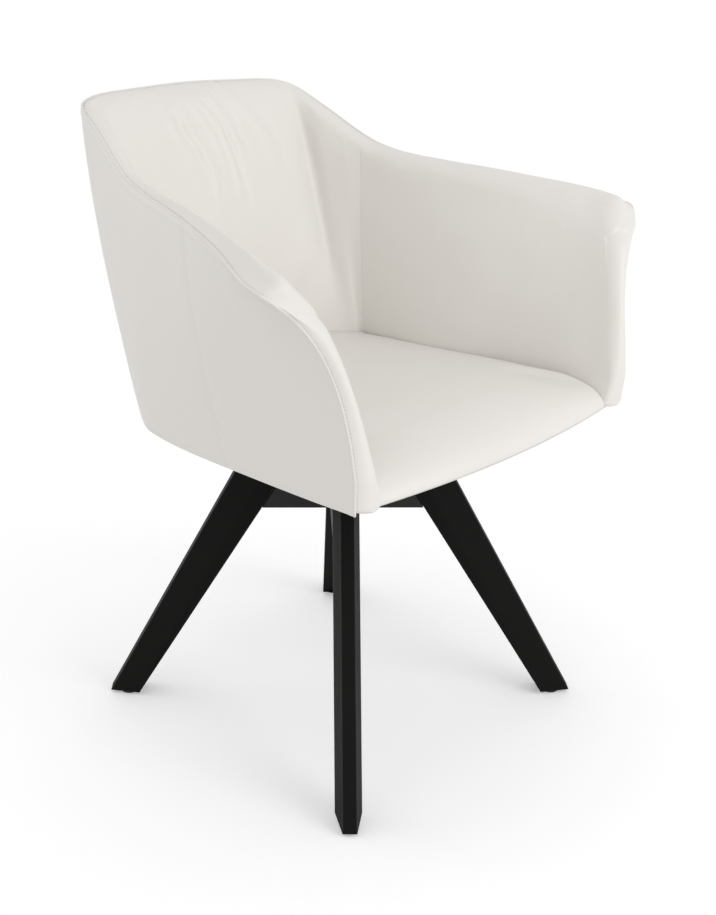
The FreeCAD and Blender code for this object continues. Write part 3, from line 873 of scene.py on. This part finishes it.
def legOutline(z):
    rise = z - legForm["footZ"]
    outer = legForm["reach"] - legForm["outerSlope"] * rise
    inner = legForm["innerFoot"] - legForm["innerSlope"] * rise
    half, nose = legForm["thick"] / 2, legForm["noseHalf"]
    shoulder = outer - legForm["noseDepth"]
    heel = min(inner + legForm["heelDepth"], shoulder - 1)
    corners = [(outer, nose), (shoulder, half), (heel, half), (inner, nose)]
    corners += [(x, -y) for x, y in corners[::-1]]
    return [Vector((x, y, z)) for x, y in corners]


def legMesh():
    bm = bmesh.new()
    ring = bmesh.ops.create_circle(bm, segments=8, radius=1, cap_ends=True)["verts"]
    for vert, point in zip(ring, legOutline(legForm["footZ"])):
        vert.co = point
    grown = bmesh.ops.extrude_face_region(bm, geom=bm.faces[:])["geom"]
    upper = [item for item in grown if isinstance(item, bmesh.types.BMVert)]
    for vert in upper:
        corner = min(range(8), key=lambda i: (vert.co - legOutline(legForm["footZ"])[i]).length)
        vert.co = legOutline(legForm["topZ"])[corner]
    bmesh.ops.bevel(bm, geom=bm.edges[:], offset=legForm["edge"], segments=2, affect="EDGES", profile=0.5,
                    material=-1)
    bmesh.ops.recalc_face_normals(bm, faces=bm.faces)
    # The chamfer faces get a lighter, glossier copy of the black wood: a painted highlight where the chamfers
    # catch the light.
    low, high = legForm["edgeFacing"]
    for face in bm.faces:
        chamfer = low < abs(face.normal.y) < high and abs(face.normal.z) < legForm["endFacing"]
        face.material_index = 1 if chamfer else 0
    return bm


def makeLegs():
    axis = Vector((-legForm["outerSlope"], 0, 1)).normalized()
    for place, degrees in legForm["angles"].items():
        bm = legMesh()
        grain = bm.verts.layers.float_vector.new("grainPlace")
        shift = Vector((degrees * 0.01, 0, 0))      # each leg is cut from another stretch of the grain
        for vert in bm.verts:
            up = vert.co.dot(axis)
            vert[grain] = Vector((up, (vert.co - axis * up).x, vert.co.y)) * mm + shift
        bmesh.ops.rotate(bm, verts=bm.verts, matrix=Matrix.Rotation(math.radians(degrees), 3, "Z"))
        leg = asPiece("leg" + place, bm, [blackWood, blackWoodPaintedHighlight], smooth=False)
        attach(leg, "base")
        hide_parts({"FrontLeft": "leg_front_left", "RearLeft": "leg_rear_left",
                          "RearRight": "leg_rear_right", "FrontRight": "leg_front_right"}[place])
    print("legs made")


# Materials


def newMaterial(name, roughness, metallic=0.0, specular=0.5):
    material = bpy.data.materials.new(name)
    material.use_nodes = True
    shader = material.node_tree.nodes["Principled BSDF"]
    shader.inputs["Roughness"].default_value = roughness
    shader.inputs["Metallic"].default_value = metallic
    shader.inputs["Specular IOR Level"].default_value = specular
    return material, material.node_tree, shader


def newGroup(name, inputs, outputs):
    group = bpy.data.node_groups.new(name, "ShaderNodeTree")
    for socket, kind, value in inputs:
        made = group.interface.new_socket(name=socket, in_out="INPUT", socket_type=kind)
        made.default_value = value
    for socket, kind in outputs:
        group.interface.new_socket(name=socket, in_out="OUTPUT", socket_type=kind)
    return group, group.nodes.new("NodeGroupInput"), group.nodes.new("NodeGroupOutput")


def surfaceGroup():
    # Fine grain over a broad, faint variation. Used by every finish, each with its own scales.
    group, entry, leave = newGroup("surfaceDetail", [
        ("Place", "NodeSocketVector", (0, 0, 0)), ("Tone A", "NodeSocketColor", (1, 1, 1, 1)),
        ("Tone B", "NodeSocketColor", (1, 1, 1, 1)), ("Broad Scale", "NodeSocketFloat", 6.0),
        ("Fine Scale", "NodeSocketFloat", 400.0), ("Cell Scale", "NodeSocketFloat", 700.0),
        ("Cell Share", "NodeSocketFloat", 0.5), ("Rough Low", "NodeSocketFloat", 0.4),
        ("Rough High", "NodeSocketFloat", 0.5),
    ], [("Color", "NodeSocketColor"), ("Roughness", "NodeSocketFloat"), ("Height", "NodeSocketFloat")])
    nodes, links = group.nodes, group.links
    broad = nodes.new("ShaderNodeTexNoise")
    fine = nodes.new("ShaderNodeTexNoise")
    cells = nodes.new("ShaderNodeTexVoronoi")
    cells.feature = "SMOOTH_F1"
    broad.inputs["Detail"].default_value = 3
    fine.inputs["Detail"].default_value = 4
    for node, scale in ((broad, "Broad Scale"), (fine, "Fine Scale"), (cells, "Cell Scale")):
        links.new(entry.outputs["Place"], node.inputs["Vector"])
        links.new(entry.outputs[scale], node.inputs["Scale"])
    tone = nodes.new("ShaderNodeMix")
    tone.data_type = "RGBA"
    links.new(broad.outputs["Fac"], tone.inputs["Factor"])
    links.new(entry.outputs["Tone A"], tone.inputs["A"])
    links.new(entry.outputs["Tone B"], tone.inputs["B"])
    height = nodes.new("ShaderNodeMix")
    links.new(entry.outputs["Cell Share"], height.inputs["Factor"])
    links.new(fine.outputs["Fac"], height.inputs["A"])
    links.new(cells.outputs["Distance"], height.inputs["B"])
    rough = nodes.new("ShaderNodeMix")
    links.new(fine.outputs["Fac"], rough.inputs["Factor"])
    links.new(entry.outputs["Rough Low"], rough.inputs["A"])
    links.new(entry.outputs["Rough High"], rough.inputs["B"])
    links.new(tone.outputs["Result"], leave.inputs["Color"])
    links.new(rough.outputs["Result"], leave.inputs["Roughness"])
    links.new(height.outputs["Result"], leave.inputs["Height"])
    return group


surfaceDetail = surfaceGroup()


def finish(name, toneA, toneB, rough, bump, broad=6.0, fine=400.0, cell=700.0, cellShare=0.5, metallic=0.0,
           specular=0.5, stretch=(1, 1, 1), attribute=None):
    # A finish: two tones, a range of roughness and a fine bump, all from the shared group.
    material, tree, shader = newMaterial(name, rough[0], metallic, specular)
    if attribute:
        place = tree.nodes.new("ShaderNodeAttribute")
        place.attribute_name = attribute
        source = place.outputs["Vector"]
    else:
        place = tree.nodes.new("ShaderNodeTexCoord")
        source = place.outputs["Object"]
    mapping = tree.nodes.new("ShaderNodeMapping")
    mapping.inputs["Scale"].default_value = stretch
    tree.links.new(source, mapping.inputs["Vector"])
    detail = tree.nodes.new("ShaderNodeGroup")
    detail.node_tree = surfaceDetail
    tree.links.new(mapping.outputs["Vector"], detail.inputs["Place"])
    detail.inputs["Tone A"].default_value = (*toneA, 1)
    detail.inputs["Tone B"].default_value = (*toneB, 1)
    detail.inputs["Broad Scale"].default_value = broad
    detail.inputs["Fine Scale"].default_value = fine
    detail.inputs["Cell Scale"].default_value = cell
    detail.inputs["Cell Share"].default_value = cellShare
    detail.inputs["Rough Low"].default_value = rough[0]
    detail.inputs["Rough High"].default_value = rough[1]
    tree.links.new(detail.outputs["Color"], shader.inputs["Base Color"])
    tree.links.new(detail.outputs["Roughness"], shader.inputs["Roughness"])
    relief = tree.nodes.new("ShaderNodeBump")
    relief.inputs["Strength"].default_value = bump[0]
    relief.inputs["Distance"].default_value = bump[1]
    tree.links.new(detail.outputs["Height"], relief.inputs["Height"])
    tree.links.new(relief.outputs["Normal"], shader.inputs["Normal"])
    return material


whiteLeather = finish("whiteLeather", (0.80, 0.775, 0.74), (0.78, 0.755, 0.715), (0.36, 0.45),
                      (0.18, 0.0003), broad=9, fine=1500, cell=900, cellShare=0.7, specular=0.45)
thread = finish("thread", (0.74, 0.725, 0.69), (0.70, 0.69, 0.65), (0.55, 0.65), (0.3, 0.0002), fine=3000)
blackWood = finish("blackWood", (0.0035, 0.0033, 0.003), (0.007, 0.0065, 0.006), (0.5, 0.65),
                   (0.35, 0.0004), broad=30, fine=220, cell=90, cellShare=0.3, specular=0.12,
                   stretch=(0.08, 1, 1), attribute="grainPlace")
# The black wood made lighter and glossier for the leg chamfers: a painted highlight, not a colour of the wood
# itself.
blackWoodPaintedHighlight = finish("blackWoodPaintedHighlight", (0.016, 0.016, 0.016), (0.021, 0.021, 0.021), (0.4, 0.5),
                       (0.1, 0.0002), broad=30, fine=300, specular=0.3, stretch=(0.08, 1, 1),
                       attribute="grainPlace")
blackSteel = finish("blackSteel", (0.016, 0.016, 0.017), (0.02, 0.02, 0.021), (0.42, 0.5), (0.12, 0.0002),
                    fine=900, cell=1200, specular=0.3)
zincSteel = finish("zincSteel", (0.55, 0.56, 0.58), (0.48, 0.49, 0.5), (0.3, 0.42), (0.1, 0.0001),
                   metallic=1.0)
bearingSteel = finish("bearingSteel", (0.6, 0.61, 0.63), (0.55, 0.56, 0.58), (0.12, 0.2),
                      (0.05, 0.0001), metallic=1.0)
cageBrass = finish("cageBrass", (0.62, 0.47, 0.2), (0.55, 0.41, 0.17), (0.25, 0.38), (0.08, 0.0001),
                   metallic=1.0)
bushNylon = finish("bushNylon", (0.6, 0.58, 0.52), (0.56, 0.54, 0.48), (0.45, 0.55), (0.1, 0.0002))
glideNylon = finish("glideNylon", (0.02, 0.02, 0.02), (0.03, 0.03, 0.03), (0.5, 0.6), (0.2, 0.0002),
                    cell=1500)
birchPly = finish("birchPly", (0.52, 0.38, 0.23), (0.42, 0.29, 0.17), (0.6, 0.7), (0.2, 0.0003), broad=14,
                  fine=160, stretch=(1, 0.12, 8))
liningCloth = finish("liningCloth", (0.014, 0.014, 0.015), (0.022, 0.022, 0.023), (0.85, 0.95), (0.5, 0.0004),
                     fine=1200, cell=1600, cellShare=0.6, specular=0.2)
frameSteel = finish("frameSteel", (0.05, 0.05, 0.055), (0.06, 0.06, 0.065), (0.5, 0.6), (0.1, 0.0002))
slotFinish = {
    "white_leather": whiteLeather, "black_wood": blackWood, "black_steel": blackSteel,
    "zinc_steel": zincSteel, "bearing_steel": bearingSteel, "cage_brass": cageBrass,
    "bush_plastic": bushNylon, "glide_plastic": glideNylon, "plywood": birchPly,
    "black_lining": liningCloth, "frame_steel": frameSteel,
}


def dressNodes():
    # Gives each carried-over node the finish of its material slot.
    for entry in frame["record"]["subparts"]:
        node = frame["nodes"][entry["node"]]
        for meshObject in ([node] if node.type == "MESH" else []) + list(node.children_recursive):
            if meshObject.type == "MESH":
                meshObject.data.materials.clear()
                meshObject.data.materials.append(slotFinish[entry["material_slot"]])
    print("nodes dressed")


# Floor, light and background


lightForm = {
    "world": 0.805,
    "lamps": [
        {"name": "front", "at": (0.45, -2.75, 1.5), "aim": (0, 0, 0.6), "size": 1.7, "watts": 24},
        {"name": "rear", "at": (-1.2, 2.4, 1.9), "aim": (0, 0, 0.6), "size": 2.0, "watts": 9},
    ],
}
floorForm = {"radius": 3.2, "clear": 0.75, "fade": 1.5, "tone": 0.86, "lift": 0.26}


def makeLights():
    for lamp in lightForm["lamps"]:
        data = bpy.data.lights.new(lamp["name"], "AREA")
        data.energy = lamp["watts"]
        data.size = lamp["size"]
        light = bpy.data.objects.new(lamp["name"], data)
        bpy.context.scene.collection.objects.link(light)
        light.location = lamp["at"]
        light.rotation_euler = (Vector(lamp["aim"]) - light.location).to_track_quat("-Z", "Y").to_euler()
    world = bpy.data.worlds.new("studio")
    bpy.context.scene.world = world
    world.use_nodes = True
    nodes, links = world.node_tree.nodes, world.node_tree.links
    background = nodes["Background"]
    background.inputs["Color"].default_value = (1, 1, 1, 1)
    path = nodes.new("ShaderNodeLightPath")
    seen = nodes.new("ShaderNodeMath")
    seen.operation = "MAXIMUM"
    links.new(path.outputs["Is Camera Ray"], seen.inputs[0])
    links.new(path.outputs["Is Transmission Ray"], seen.inputs[1])
    strength = nodes.new("ShaderNodeMix")
    strength.inputs["A"].default_value = lightForm["world"]
    strength.inputs["B"].default_value = 1.0
    links.new(seen.outputs["Value"], strength.inputs["Factor"])
    links.new(strength.outputs["Result"], background.inputs["Strength"])


def makeFloor():
    # A pale round floor that fades out into the white background.
    bm = bmesh.new()
    bmesh.ops.create_circle(bm, segments=96, radius=floorForm["radius"] / mm, cap_ends=True)
    material, tree, shader = newMaterial("paleFloor", 0.8, specular=0.2)
    nodes, links = tree.nodes, tree.links
    shader.inputs["Base Color"].default_value = (floorForm["tone"],) * 3 + (1,)
    place = nodes.new("ShaderNodeTexCoord")
    length = nodes.new("ShaderNodeVectorMath")
    length.operation = "LENGTH"
    links.new(place.outputs["Object"], length.inputs[0])
    fade = nodes.new("ShaderNodeMapRange")
    fade.interpolation_type = "SMOOTHSTEP"
    fade.inputs["From Min"].default_value = floorForm["clear"]
    fade.inputs["From Max"].default_value = floorForm["fade"]
    fade.inputs["To Min"].default_value = 1.0
    fade.inputs["To Max"].default_value = 0.0
    links.new(length.outputs["Value"], fade.inputs["Value"])
    links.new(fade.outputs["Result"], shader.inputs["Alpha"])
    path = nodes.new("ShaderNodeLightPath")
    lift = nodes.new("ShaderNodeMath")
    lift.operation = "MULTIPLY"
    lift.inputs[1].default_value = floorForm["lift"]
    links.new(path.outputs["Is Camera Ray"], lift.inputs[0])
    links.new(lift.outputs["Value"], shader.inputs["Emission Strength"])
    shader.inputs["Emission Color"].default_value = (1, 1, 1, 1)
    floor = asPiece("floor", bm, material, smooth=False)
    floor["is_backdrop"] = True


dressNodes()
makeCamera()
pads = makePads()
makeCovers()
makeWelt()
stitchRim(pads)
makeCushion()
makeLegs()
makeLights()
makeFloor()
bpy.context.scene.view_settings.view_transform = "Standard"

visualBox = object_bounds()
print("size", [[round(value, 4) for value in corner] for corner in (*cadBox, *visualBox)])
